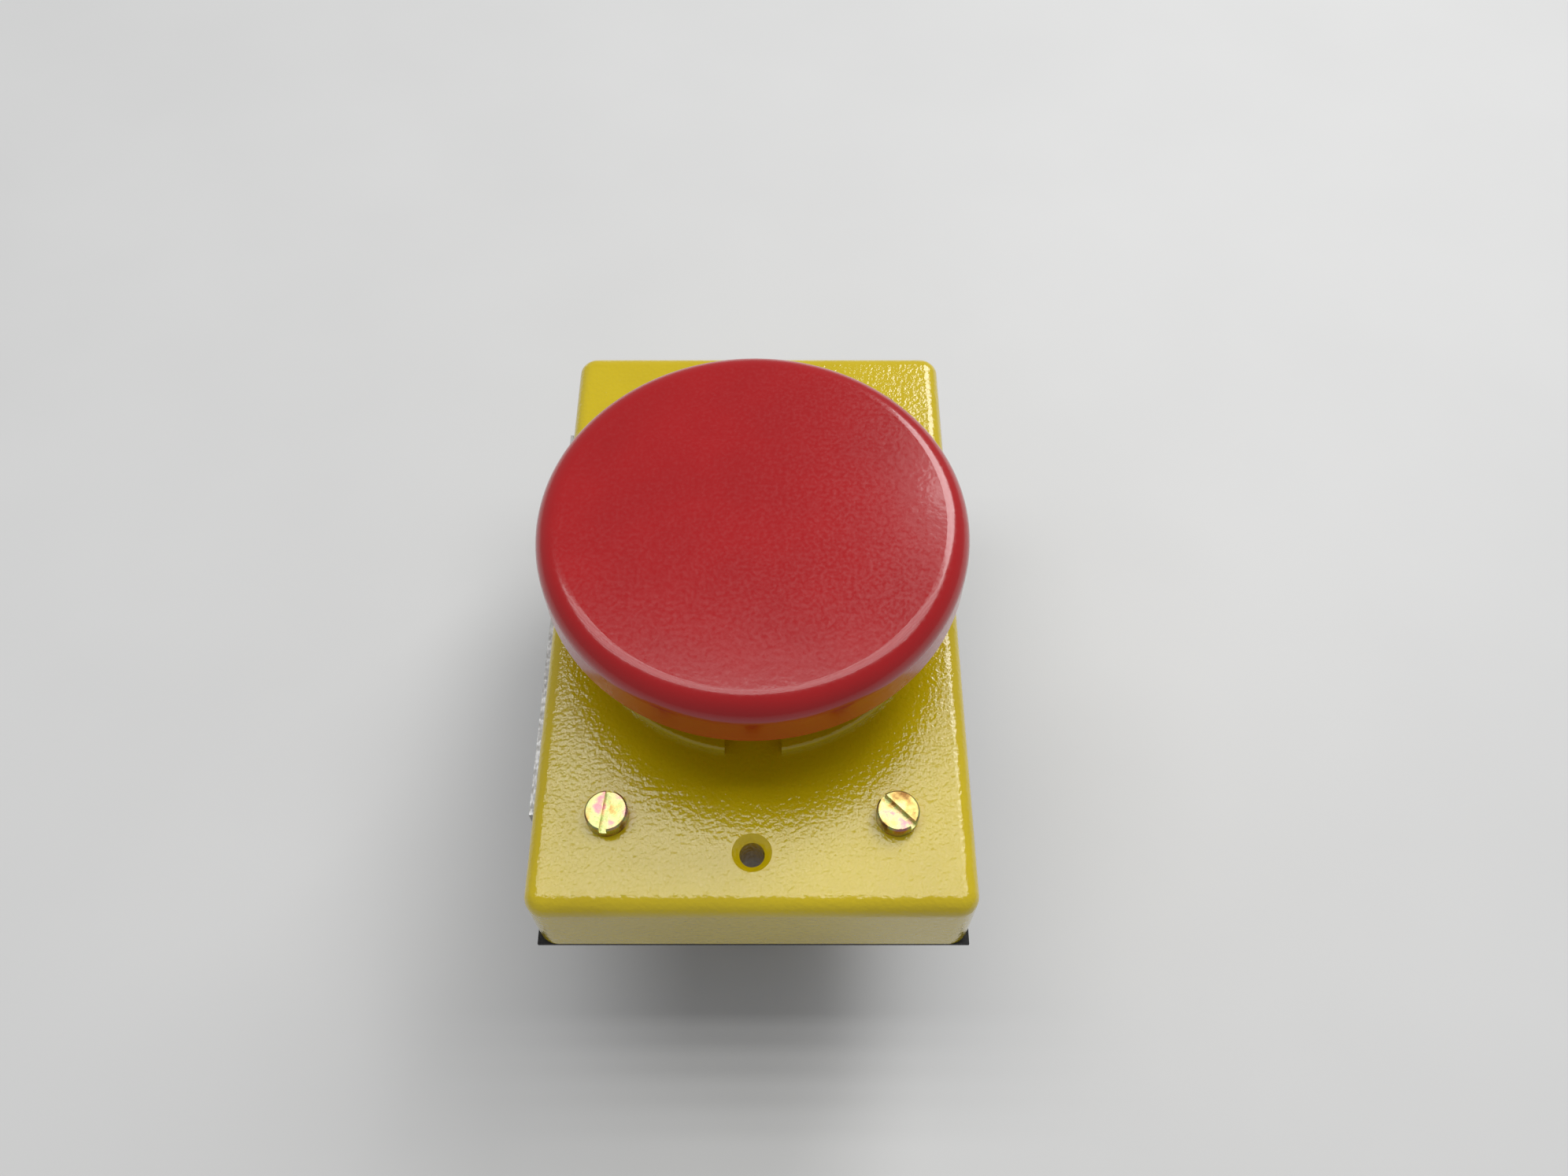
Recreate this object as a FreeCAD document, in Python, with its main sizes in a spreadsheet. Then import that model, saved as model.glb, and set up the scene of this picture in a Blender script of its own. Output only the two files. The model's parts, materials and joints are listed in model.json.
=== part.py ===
"""Palm push button on a rectangular cover, with its switch frame and contact block, in millimetres.

The origin is on the plunger's axis, in the plane of the cover's open rim. +Z points out of the cover
towards the palm that presses the head, +X is the cover's short side and +Y its long side.
Every driving size is a cell of the sheet Sizes. The sheet Places works out levels and positions from it.
"""

import FreeCAD
import Part
import os
import re

import Sketcher
from FreeCAD import Placement, Rotation, Vector

SIZES = {
    # cover
    "cover_width": 72.5,
    "cover_length": 115.0,
    "cover_depth": 17.5,
    "cover_wall": 3.0,
    "cover_plate": 3.5,
    "cover_corner_radius": 3.5,
    "cover_edge_radius": 2.8,
    "inner_corner_radius": 2.0,
    "ring_diameter": 62.0,
    "ring_wall": 3.0,
    "ring_height": 1.6,
    "ring_edge_radius": 0.6,
    "drain_width": 9.5,
    "guide_wall": 5.0,
    "guide_drop": 10.0,
    "boss_wall": 2.0,
    "screw_edge_x": 12.7,
    "screw_edge_y": 15.85,
    "box_hole_pitch": 95.6,
    "box_hole_diameter": 4.1,
    "box_sink_diameter": 6.5,
    # gasket and rating plate
    "gasket_thickness": 0.8,
    "gasket_band": 5.0,
    "gasket_tab_width": 11.0,
    "gasket_hole_diameter": 4.8,
    "label_length": 79.7,
    "label_height": 10.5,
    "label_thickness": 1.0,
    "label_drop": 4.1,
    # cover screws and what they hold
    "screw_diameter": 4.0,
    "screw_hole_gap": 0.2,
    "screw_head_diameter": 7.0,
    "screw_head_height": 2.6,
    "screw_edge": 0.3,
    "screw_slot_width": 1.2,
    "screw_slot_depth": 1.1,
    "screw_tail": 0.8,
    "lock_washer_diameter": 7.6,
    "lock_washer_thickness": 1.0,
    "washer_split": 0.6,
    "nut_flats": 7.0,
    "nut_height": 3.2,
    "thread_gap": 0.02,
    # plunger and its guide
    "travel": 5.0,
    "rest_gap": 0.3,
    "stem_diameter": 12.0,
    "stem_edge": 0.5,
    "running_gap": 0.05,
    "press_gap": 0.01,
    "bushing_wall": 2.95,
    "flange_width": 3.0,
    "flange_thickness": 2.0,
    "wiper_height": 2.0,
    "wiper_gap": 0.1,
    "stud_diameter": 8.0,
    "stud_length": 7.5,
    "stud_edge": 0.6,
    "buffer_thickness": 1.0,
    "stop_washer_thickness": 1.2,
    "stop_washer_width": 4.0,
    "clip_thickness": 1.0,
    "clip_width": 3.0,
    "clip_depth": 0.8,
    "clip_mouth": 5.0,
    "seat_thickness": 1.2,
    "seat_width": 4.2,
    # head
    "head_diameter": 71.4,
    "head_rise": 25.8,
    "head_lift": 16.2,
    "head_edge_radius": 4.1,
    "head_plate": 3.2,
    "head_wall": 3.0,
    "hub_diameter": 22.0,
    "hub_drop": 1.9,
    "rib_thickness": 2.0,
    "rib_height": 4.0,
    "grub_diameter": 4.0,
    "grub_height": 2.8,
    # return spring
    "spring_length": 12.3,
    "spring_wire": 1.3,
    "spring_turns": 4.0,
    "spring_room": 1.95,
    # switch frame
    "rail_level": 3.0,
    "rail_gap": 4.25,
    "rail_margin": 0.25,
    "rail_tail": 5.35,
    "frame_sheet": 1.5,
    "web_margin": 4.0,
    "web_hole_gap": 0.4,
    "ground_height": 12.0,
    "ground_diameter": 3.5,
    "ground_head_diameter": 7.0,
    "ground_head_height": 2.2,
    "ground_washer_thickness": 0.8,
    "ground_tail": 2.5,
    # contact block
    "lid_thickness": 4.7,
    "lid_hole_gap": 0.6,
    "block_wall": 4.5,
    "end_wall": 11.5,
    "base_floor": 1.8,
    "barrier_thickness": 2.0,
    "barrier_reach": 5.0,
    "bolt_setback": 3.5,
    "bolt_diameter": 3.0,
    "bolt_hole_gap": 0.2,
    "bolt_head_diameter": 5.5,
    "bolt_head_height": 2.0,
    "bolt_sink_gap": 0.3,
    "bolt_slot_width": 0.8,
    "bolt_slot_depth": 0.9,
    "bolt_nut_flats": 5.5,
    "bolt_nut_height": 2.4,
    "bolt_tail": 0.6,
    # contacts
    "contact_offset": 9.0,
    "contact_pitch": 18.0,
    "contact_gap": 0.1,
    "strip_width": 6.0,
    "strip_thickness": 1.0,
    "strip_overlap": 2.0,
    "plate_drop": 11.3,
    "tip_diameter": 3.2,
    "tip_height": 0.6,
    "terminal_diameter": 3.5,
    "terminal_head_diameter": 6.0,
    "terminal_head_height": 2.0,
    "terminal_depth": 8.0,
    "terminal_drop": 6.6,
    "clamp_size": 6.4,
    "clamp_thickness": 1.0,
    # contact carrier
    "push_gap": 0.3,
    "neck_step": 1.0,
    "stem_reach": 1.5,
    "carrier_gap": 0.4,
    "carrier_depth": 8.0,
    "carrier_floor": 1.7,
    "carrier_side": 1.7,
    "guide_pad": 2.3,
    "guide_pad_width": 6.0,
    "guide_gap": 0.2,
    "bridge_width": 4.0,
    "bridge_thickness": 0.8,
    "bridge_overhang": 2.0,
    "bridge_room": 1.5,
    "bridge_play": 0.2,
    "window_gap": 0.3,
    "window_height": 4.0,
    "carrier_bore": 6.0,
    "carrier_bore_depth": 5.0,
    "carrier_spring_diameter": 4.6,
    "carrier_spring_wire": 0.5,
    "carrier_spring_turns": 6.0,
    "bridge_spring_diameter": 3.0,
    "bridge_spring_wire": 0.4,
    "bridge_spring_turns": 3.0,
}

PLACES = {
    # levels, from the palm down to the back of the contact block
    "head_top": "cover_depth + head_rise",
    "head_rim": "cover_depth + head_lift",
    "head_ceiling": "head_top - head_plate",
    "hub_bottom": "head_rim - hub_drop",
    "stud_top": "hub_bottom + stud_length",
    "guide_top": "hub_bottom - travel - rest_gap",
    "plate_bottom": "cover_depth - cover_plate",
    "guide_bottom": "plate_bottom - guide_drop",
    "flange_bottom": "guide_bottom - flange_thickness",
    "buffer_top": "flange_bottom - rest_gap",
    "stop_top": "buffer_top - buffer_thickness",
    "clip_top": "stop_top - stop_washer_thickness",
    "clip_bottom": "clip_top - clip_thickness",
    "spring_top": "clip_bottom - seat_thickness",
    "web_top": "spring_top - spring_length",
    "web_bottom": "web_top - frame_sheet",
    "stem_bottom": "web_bottom - stem_reach",
    "neck_top": "stem_bottom - push_gap",
    "base_top": "web_bottom - lid_thickness",
    "closed_strip_bottom": "base_top - strip_thickness",
    "closed_tip_bottom": "closed_strip_bottom - tip_height",
    "closed_bridge_top": "closed_tip_bottom - contact_gap - tip_height",
    "closed_bridge_bottom": "closed_bridge_top - bridge_thickness",
    "carrier_top": "base_top - carrier_gap",
    "window_top": "closed_bridge_top + bridge_play",
    "window_bottom": "window_top - window_height",
    "open_bridge_bottom": "window_bottom + bridge_play",
    "open_bridge_top": "open_bridge_bottom + bridge_thickness",
    "carrier_bottom": "window_bottom - carrier_floor",
    "open_tip_top": "open_bridge_bottom - tip_height - travel - contact_gap",
    "open_strip_top": "open_tip_top - tip_height",
    "cavity_floor": "open_strip_top - strip_thickness",
    "base_bottom": "cavity_floor - base_floor",
    "terminal_level": "base_top - terminal_drop",
    "bore_top": "carrier_bottom + carrier_bore_depth",
    "rail_bottom": "rail_level - frame_sheet",
    # plan positions and widths
    "screw_x": "cover_width / 2 - screw_edge_x",
    "screw_y": "cover_length / 2 - screw_edge_y",
    "screw_hole_diameter": "screw_diameter + 2 * screw_hole_gap",
    "bushing_bore": "stem_diameter + 2 * running_gap",
    "bushing_diameter": "bushing_bore + 2 * bushing_wall",
    "guide_bore": "bushing_diameter + 2 * press_gap",
    "guide_diameter": "guide_bore + 2 * guide_wall",
    "leg_inner": "screw_x - lock_washer_diameter / 2 - rail_margin",
    "leg_outer": "leg_inner + frame_sheet",
    "rail_outer": "cover_width / 2 - cover_wall - rail_gap",
    "rail_end": "screw_y + rail_tail",
    "ground_x": "(leg_outer + rail_outer) / 2",
    "bridge_length": "contact_pitch + 2 * bridge_overhang",
    "cavity_length": "bridge_length + 2 * bridge_room",
    "block_length": "cavity_length + 2 * end_wall",
    "bolt_y": "cavity_length / 2 + bolt_setback",
    "web_end": "bolt_y + web_margin",
    "window_width": "bridge_width + 2 * window_gap",
    "carrier_width": "2 * contact_offset + window_width + 2 * carrier_side",
    "cavity_width": "carrier_width + 2 * guide_gap + 2 * guide_pad",
    "block_width": "cavity_width + 2 * block_wall",
    "strip_start": "contact_pitch / 2 - strip_overlap",
    "plate_outer": "block_length / 2 + strip_thickness",
    "clamp_outer": "plate_outer + clamp_thickness",
    "spring_diameter": "stem_diameter + 2 * spring_room + spring_wire",
}

SIDES = (-1, 1)
CORNERS = ((-1, -1), (1, -1), (-1, 1), (1, 1))
SCREW_TURNS = (84.0, 135.0, 20.0, 100.0)
SQUARE_ROOT_THREE = 1.7320508

doc = FreeCAD.newDocument("PalmButton")
nodes = []


# --- sheets and expressions -------------------------------------------------------------------------


def cells(text):
    """The expression with every named size written as its cell, such as Sizes.travel."""

    def cell(found):
        word = found.group()
        if word in SIZES:
            return f"Sizes.{word}"
        return f"Places.{word}" if word in PLACES else word

    return re.sub(r"[a-z]\w*", cell, str(text))


def fill_sheet(name, rows):
    """A sheet with a word in column A and its value in column B, which also bears the word as alias."""
    sheet = doc.addObject("Spreadsheet::Sheet", name)
    for row, (word, content) in enumerate(rows, start=1):
        sheet.set(f"A{row}", word)
        sheet.set(f"B{row}", content)
        sheet.setAlias(f"B{row}", word)
    doc.recompute()
    return sheet


fill_sheet("Sizes", [(word, str(size)) for word, size in SIZES.items()])
places = fill_sheet("Places", [(word, "=" + cells(text)) for word, text in PLACES.items()])


def number(text):
    """The present value of an expression."""
    return float(places.evalExpression(cells(text)))


def bind(thing, field, text):
    """Tie one property to an expression of the sheets."""
    thing.setExpression(field, cells(text))


def place_at(thing, x="0", y="0", z="0"):
    """Tie the three coordinates of an object's base to expressions."""
    bind(thing, "Placement.Base.x", x)
    bind(thing, "Placement.Base.y", y)
    bind(thing, "Placement.Base.z", z)


# --- primitives and booleans ------------------------------------------------------------------------


def rod(name, diameter, low, high, x="0", y="0"):
    """A cylinder along Z between two levels."""
    thing = doc.addObject("Part::Cylinder", name)
    bind(thing, "Radius", f"({diameter}) / 2")
    bind(thing, "Height", f"({high}) - ({low})")
    place_at(thing, x, y, low)
    return thing


def frustum(name, bottom_diameter, top_diameter, low, high):
    """A truncated cone along Z between two levels."""
    thing = doc.addObject("Part::Cone", name)
    bind(thing, "Radius1", f"({bottom_diameter}) / 2")
    bind(thing, "Radius2", f"({top_diameter}) / 2")
    bind(thing, "Height", f"({high}) - ({low})")
    place_at(thing, z=low)
    return thing


def block(name, x_range, y_range, z_range):
    """A box between two corners, given as a pair of expressions for each axis."""
    thing = doc.addObject("Part::Box", name)
    for field, (low, high) in zip(("Length", "Width", "Height"), (x_range, y_range, z_range)):
        bind(thing, field, f"({high}) - ({low})")
    place_at(thing, x_range[0], y_range[0], z_range[0])
    return thing


def hexagon(name, flats, low, high):
    """A hexagonal prism along Z, measured across its flats."""
    thing = doc.addObject("Part::Prism", name)
    thing.Polygon = 6
    bind(thing, "Circumradius", f"({flats}) / {SQUARE_ROOT_THREE}")
    bind(thing, "Height", f"({high}) - ({low})")
    place_at(thing, z=low)
    return thing


def fuse(name, *pieces):
    """One solid out of several that touch."""
    thing = doc.addObject("Part::MultiFuse", name)
    thing.Shapes = list(pieces)
    return thing


def cut(name, base, *tools):
    """The base without its tools."""
    for tool in tools:
        thing = doc.addObject("Part::Cut", name)
        thing.Base = base
        thing.Tool = tool
        base = thing
    return base


def washer(name, bore, diameter, low, high):
    """A flat ring round the Z axis."""
    return cut(name, rod(f"{name}Disc", diameter, low, high), rod(f"{name}Bore", bore, low, high))


def keep(name, thing, solids=1):
    """Make an object, or a group of identical ones, the node of this name."""
    if isinstance(thing, list):
        group = doc.addObject("Part::Compound", "Group")
        group.Links = thing
        thing = group
    thing.Label = name
    nodes.append((thing, solids))


# --- bodies and sketches ----------------------------------------------------------------------------


def new_body(name):
    """An empty PartDesign body."""
    return doc.addObject("PartDesign::Body", name)


def sketch_on(body, plane, offset="0"):
    """A sketch on one of the body's own origin planes, moved along that plane's normal."""
    sketch = body.newObject("Sketcher::SketchObject", "Sketch")
    origin_plane = next(feature for feature in body.Origin.OriginFeatures if feature.Role == plane)
    sketch.AttachmentSupport = (origin_plane, [""])
    sketch.MapMode = "FlatFace"
    bind(sketch, "AttachmentOffset.Base.z", offset)
    return sketch


def fix_distance(sketch, kind, geometry, point, text):
    """Give one coordinate of a sketch point an expression."""
    index = sketch.addConstraint(Sketcher.Constraint(kind, geometry, point, number(text)))
    bind(sketch, f"Constraints[{index}]", text)


def draw_outline(sketch, corners):
    """A closed outline of straight lines; each corner is a pair of expressions."""
    first = sketch.GeometryCount
    spots = [Vector(number(across), number(up), 0) for across, up in corners]
    count = len(spots)
    for index in range(count):
        sketch.addGeometry(Part.LineSegment(spots[index], spots[(index + 1) % count]))
    for index, (across, up) in enumerate(corners):
        following = first + (index + 1) % count
        sketch.addConstraint(Sketcher.Constraint("Coincident", first + index, 2, following, 1))
        fix_distance(sketch, "DistanceX", first + index, 1, across)
        fix_distance(sketch, "DistanceY", first + index, 1, up)


def draw_rectangle(sketch, left, right, bottom, top):
    """A rectangle between four expressions."""
    draw_outline(sketch, [(left, bottom), (right, bottom), (right, top), (left, top)])


def draw_centred(sketch, width, length):
    """A rectangle round the sketch's origin."""
    draw_rectangle(sketch, f"-({width}) / 2", f"({width}) / 2", f"-({length}) / 2", f"({length}) / 2")


def draw_circle(sketch, diameter, x="0", y="0"):
    """A full circle."""
    centre = Vector(number(x), number(y), 0)
    circle = Part.Circle(centre, Vector(0, 0, 1), number(diameter) / 2)
    index = sketch.addGeometry(circle)
    fix_distance(sketch, "DistanceX", index, 3, x)
    fix_distance(sketch, "DistanceY", index, 3, y)
    width = sketch.addConstraint(Sketcher.Constraint("Diameter", index, number(diameter)))
    bind(sketch, f"Constraints[{width}]", diameter)


def settle(body):
    """Recompute, and stop if the body's newest feature failed."""
    doc.recompute()
    if "Up-to-date" not in body.Tip.State:
        raise RuntimeError(f"{body.Name}: {body.Tip.Name} is {body.Tip.State}")


def add_feature(body, kind, sketch):
    """A feature of the body made from one of its sketches."""
    feature = body.newObject(f"PartDesign::{kind}", kind)
    feature.Profile = sketch
    return feature


def pad(body, sketch, length, symmetric=False):
    """Raise a sketch along its normal, or to both sides of its plane."""
    feature = add_feature(body, "Pad", sketch)
    feature.SideType = "Symmetric" if symmetric else "One side"
    bind(feature, "Length", length)
    settle(body)


def pocket(body, sketch, depth=None, along_normal=False):
    """Cut a sketch into the body to a depth, or right through it, and make sure that it cuts."""
    before = body.Shape.Volume
    feature = add_feature(body, "Pocket", sketch)
    if depth is None:
        feature.SideType = "Two sides"
        feature.Type = "ThroughAll"
        feature.Type2 = "ThroughAll"
    else:
        feature.Reversed = along_normal
        bind(feature, "Length", depth)
    settle(body)
    if body.Shape.Volume >= before:
        raise RuntimeError(f"{body.Name}: {feature.Name} cuts nothing")


def revolve(body, sketch):
    """Turn a sketch of the XZ plane once round the Z axis."""
    feature = add_feature(body, "Revolution", sketch)
    feature.ReferenceAxis = (sketch, ["V_Axis"])
    feature.Angle = 360
    settle(body)


def dress(body, kind, size, wanted):
    """Fillet or chamfer the edges of the body that a test picks."""
    base = body.Tip
    edges = [f"Edge{place}" for place, edge in enumerate(base.Shape.Edges, start=1) if wanted(edge)]
    if not edges:
        raise RuntimeError(f"{body.Name}: no edge for a {kind}")
    feature = body.newObject(f"PartDesign::{kind}", kind)
    feature.Base = (base, edges)
    bind(feature, "Radius" if kind == "Fillet" else "Size", size)
    settle(body)


def is_upright(edge):
    """Is the edge a straight one along Z?"""
    if not isinstance(edge.Curve, Part.Line):
        return False
    return abs(edge.Curve.Direction.z) > 0.999


def lies_at(edge, level):
    """Does the whole edge lie in the plane at this level?"""
    box = edge.BoundBox
    return abs(box.ZMin - level) < 1e-4 and abs(box.ZMax - level) < 1e-4


def coil(name, diameter, wire, low, high, turns, x="0", y="0"):
    """A compression spring of round wire that stands between two levels."""
    body = new_body(name)
    sketch = sketch_on(body, "XZ_Plane")
    draw_circle(sketch, wire, f"({diameter}) / 2", f"({low}) + {wire} / 2")
    helix = add_feature(body, "AdditiveHelix", sketch)
    helix.ReferenceAxis = (sketch, ["V_Axis"])
    helix.Mode = "height-turns-angle"
    bind(helix, "Height", f"({high}) - ({low}) - {wire}")
    bind(helix, "Turns", turns)
    settle(body)
    place_at(body, x, y)
    return body


# --- cover, gasket and rating plate -----------------------------------------------------------------


def make_cover():
    """The cast cover: shell, drain ring, plunger guide and screw bosses."""
    body = new_body("Cover")
    shell = sketch_on(body, "XY_Plane")
    draw_centred(shell, "cover_width", "cover_length")
    pad(body, shell, "cover_depth")
    dress(body, "Fillet", "cover_corner_radius", is_upright)
    face = number("cover_depth")
    dress(body, "Fillet", "cover_edge_radius", lambda edge: lies_at(edge, face))
    inside = sketch_on(body, "XY_Plane")
    draw_centred(inside, "cover_width - 2 * cover_wall", "cover_length - 2 * cover_wall")
    pocket(body, inside, "plate_bottom", along_normal=True)
    inner_half = number("cover_width / 2 - cover_wall")

    def is_inner_corner(edge):
        return is_upright(edge) and abs(abs(edge.Vertexes[0].X) - inner_half) < 1e-3

    dress(body, "Fillet", "inner_corner_radius", is_inner_corner)
    add_ring(body)
    guide = sketch_on(body, "XY_Plane", "guide_bottom")
    draw_circle(guide, "guide_diameter")
    pad(body, guide, "guide_top - guide_bottom")
    add_screw_bosses(body)
    add_cover_holes(body)
    keep("cover", body)


def add_ring(body):
    """The low ring round the plunger, open at the bottom where water drains out."""
    ring = sketch_on(body, "XY_Plane", "plate_bottom")
    draw_circle(ring, "ring_diameter")
    draw_circle(ring, "ring_diameter - 2 * ring_wall")
    pad(body, ring, "cover_plate + ring_height")
    ring_top = number("cover_depth + ring_height")
    dress(body, "Fillet", "ring_edge_radius", lambda edge: lies_at(edge, ring_top))
    drain = sketch_on(body, "XY_Plane", "cover_depth + ring_height")
    outer = "-ring_diameter / 2 - 1"
    inner = "ring_wall - ring_diameter / 2 + 1"
    draw_rectangle(drain, "-drain_width / 2", "drain_width / 2", outer, inner)
    pocket(body, drain, "ring_height")


def add_screw_bosses(body):
    """Bosses under the plate: four down to the switch frame's rails and two down to the rim."""
    boss = "screw_hole_diameter + 2 * boss_wall"
    frame_bosses = sketch_on(body, "XY_Plane", "rail_level")
    for across, along in CORNERS:
        draw_circle(frame_bosses, boss, f"{across} * screw_x", f"{along} * screw_y")
    pad(body, frame_bosses, "plate_bottom + cover_plate / 2 - rail_level")
    box_bosses = sketch_on(body, "XY_Plane")
    for along in SIDES:
        draw_circle(box_bosses, boss, "0", f"{along} * box_hole_pitch / 2")
    pad(body, box_bosses, "plate_bottom + cover_plate / 2")


def add_cover_holes(body):
    """The guide's bore, the screw holes and the sinks of the two box screws."""
    holes = sketch_on(body, "XY_Plane")
    draw_circle(holes, "guide_bore")
    for across, along in CORNERS:
        draw_circle(holes, "screw_hole_diameter", f"{across} * screw_x", f"{along} * screw_y")
    for along in SIDES:
        draw_circle(holes, "box_hole_diameter", "0", f"{along} * box_hole_pitch / 2")
    pocket(body, holes)
    face = number("cover_depth")
    hole_y = number("box_hole_pitch / 2")
    hole_radius = number("box_hole_diameter / 2")

    def is_box_hole_mouth(edge):
        near = abs(abs(edge.BoundBox.Center.y) - hole_y) < 1e-3
        return lies_at(edge, face) and near and edge.BoundBox.XLength < 2 * hole_radius + 0.1

    dress(body, "Chamfer", "(box_sink_diameter - box_hole_diameter) / 2", is_box_hole_mouth)


def make_gasket():
    """The flat gasket under the rim, with a tab round each box screw hole."""
    body = new_body("Gasket")
    sheet = sketch_on(body, "XY_Plane", "-gasket_thickness")
    draw_centred(sheet, "cover_width", "cover_length")
    pad(body, sheet, "gasket_thickness")
    side = "(cover_width / 2 - gasket_band)"
    end = "(cover_length / 2 - gasket_band)"
    tab = "(gasket_tab_width / 2)"
    tab_end = f"(box_hole_pitch / 2 - {tab})"
    quarter = [(side, end), (tab, end), (tab, tab_end)]
    left_top = [(f"-{across}", up) for across, up in reversed(quarter)]
    left_bottom = [(f"-{across}", f"-{up}") for across, up in quarter]
    right_bottom = [(across, f"-{up}") for across, up in reversed(quarter)]
    opening = sketch_on(body, "XY_Plane")
    draw_outline(opening, quarter + left_top + left_bottom + right_bottom)
    pocket(body, opening)
    holes = sketch_on(body, "XY_Plane")
    for along in SIDES:
        draw_circle(holes, "gasket_hole_diameter", "0", f"{along} * box_hole_pitch / 2")
    pocket(body, holes)
    keep("cover_gasket", body)


def make_rating_plate():
    """The bare metal plate stuck on the cover's left wall."""
    wall = "-cover_width / 2"
    top = "cover_depth - label_drop"
    plate = block(
        "RatingPlate",
        (f"{wall} - label_thickness", wall),
        ("-label_length / 2", "label_length / 2"),
        (f"{top} - label_height", top),
    )
    keep("rating_plate", plate)


# --- fasteners --------------------------------------------------------------------------------------


def slotted_screw(name, size, head, height, slot, length, seat="0"):
    """A cheese-head screw that points down Z, its head standing on the seat level."""
    head_top = f"{seat} + {height}"
    head_body = rod(f"{name}Head", head, seat, f"{head_top} - screw_edge")
    crown = frustum(f"{name}Crown", head, f"{head} - 2 * screw_edge", f"{head_top} - screw_edge", head_top)
    shank = rod(f"{name}Shank", size, f"{seat} - ({length})", seat)
    whole = fuse(f"{name}Body", head_body, crown, shank)
    slot_width, slot_depth = slot
    groove = block(
        f"{name}Slot",
        (f"-{head}", head),
        (f"-{slot_width} / 2", f"{slot_width} / 2"),
        (f"{head_top} - {slot_depth}", f"{head_top} + 1"),
    )
    return cut(name, whole, groove)


def make_cover_screws():
    """Four screws from the cover's face, through the rails, into nuts; slots left as they were tightened."""
    screws = []
    below_face = "cover_depth - rail_bottom + lock_washer_thickness + nut_height + screw_tail"
    slot = ("screw_slot_width", "screw_slot_depth")
    for (across, along), turn in zip(CORNERS, SCREW_TURNS):
        screw = slotted_screw(
            "CoverScrew", "screw_diameter", "screw_head_diameter", "screw_head_height", slot, below_face
        )
        screw.Placement = Placement(Vector(), Rotation(Vector(0, 0, 1), turn))
        place_at(screw, f"{across} * screw_x", f"{along} * screw_y", "cover_depth")
        screws.append(screw)
    keep("cover_screws", screws, solids=4)


def split_washer(low, high):
    """A spring lock washer with its split."""
    ring = washer("LockWasher", "screw_hole_diameter", "lock_washer_diameter", low, high)
    gap = ("-washer_split / 2", "washer_split / 2")
    split = block("Split", ("0", "lock_washer_diameter"), gap, (f"{low} - 1", f"{high} + 1"))
    return cut("SplitWasher", ring, split)


def hex_nut(flats, height, bore):
    """A nut whose top face is at the origin."""
    body = hexagon("NutBody", flats, f"-{height}", "0")
    return cut("Nut", body, rod("NutBore", f"{bore} + 2 * thread_gap", f"-{height}", "0"))


def make_frame_fasteners():
    """The lock washers and nuts that hold the switch frame on the four cover screws."""
    washers = []
    nuts = []
    washer_bottom = "rail_bottom - lock_washer_thickness"
    for across, along in CORNERS:
        ring = split_washer("-lock_washer_thickness", "0")
        place_at(ring, f"{across} * screw_x", f"{along} * screw_y", "rail_bottom")
        washers.append(ring)
        nut = hex_nut("nut_flats", "nut_height", "screw_diameter")
        place_at(nut, f"{across} * screw_x", f"{along} * screw_y", washer_bottom)
        nuts.append(nut)
    keep("frame_lock_washers", washers, solids=4)
    keep("frame_nuts", nuts, solids=4)


# --- plunger and guide ------------------------------------------------------------------------------


def make_guide():
    """The flanged bronze bushing in the cover's guide, and the rubber wiper above it."""
    body = new_body("GuideBushing")
    profile = sketch_on(body, "XZ_Plane")
    bore = "bushing_bore / 2"
    outside = "bushing_diameter / 2"
    flange = "bushing_diameter / 2 + flange_width"
    bushing_top = "guide_top - wiper_height"
    corners = [
        (bore, "flange_bottom"),
        (flange, "flange_bottom"),
        (flange, "guide_bottom"),
        (outside, "guide_bottom"),
        (outside, bushing_top),
        (bore, bushing_top),
    ]
    draw_outline(profile, corners)
    revolve(body, profile)
    keep("guide_bushing", body)
    wiper = washer("Wiper", "stem_diameter + 2 * wiper_gap", "bushing_diameter", bushing_top, "guide_top")
    keep("stem_wiper", wiper)


def make_stem():
    """The turned plunger stem with its threaded stud and its clip groove."""
    body = new_body("PlungerStem")
    profile = sketch_on(body, "XZ_Plane")
    outside = "stem_diameter / 2"
    groove = "stem_diameter / 2 - clip_depth"
    stud = "stud_diameter / 2"
    corners = [
        ("0", "stem_bottom"),
        (f"{outside} - stem_edge", "stem_bottom"),
        (outside, "stem_bottom + stem_edge"),
        (outside, "clip_bottom"),
        (groove, "clip_bottom"),
        (groove, "clip_top"),
        (outside, "clip_top"),
        (outside, "hub_bottom"),
        (stud, "hub_bottom"),
        (stud, "stud_top - stud_edge"),
        (f"{stud} - stud_edge", "stud_top"),
        ("0", "stud_top"),
    ]
    draw_outline(profile, corners)
    revolve(body, profile)
    keep("plunger_stem", body)


def make_stem_rings():
    """What the stem carries under the guide: buffer, stop washer, retaining ring and spring seat."""
    bore = "stem_diameter + 2 * running_gap"
    stop = f"{bore} + 2 * stop_washer_width"
    keep("buffer_washer", washer("Buffer", bore, stop, "stop_top", "buffer_top"))
    keep("stop_washer", washer("StopWasher", bore, stop, "clip_top", "stop_top"))
    clip_bore = "stem_diameter - 2 * clip_depth + 2 * press_gap"
    clip_ring = washer("Clip", clip_bore, f"{clip_bore} + 2 * clip_width", "clip_bottom", "clip_top")
    mouth_ends = ("-clip_mouth / 2", "clip_mouth / 2")
    mouth = block("ClipMouth", mouth_ends, ("0", "stem_diameter"), ("clip_bottom - 1", "clip_top + 1"))
    keep("retaining_ring", cut("RetainingRing", clip_ring, mouth))
    seat = washer("SpringSeat", bore, f"{bore} + 2 * seat_width", "spring_top", "clip_bottom")
    keep("upper_spring_seat", seat)


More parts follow.
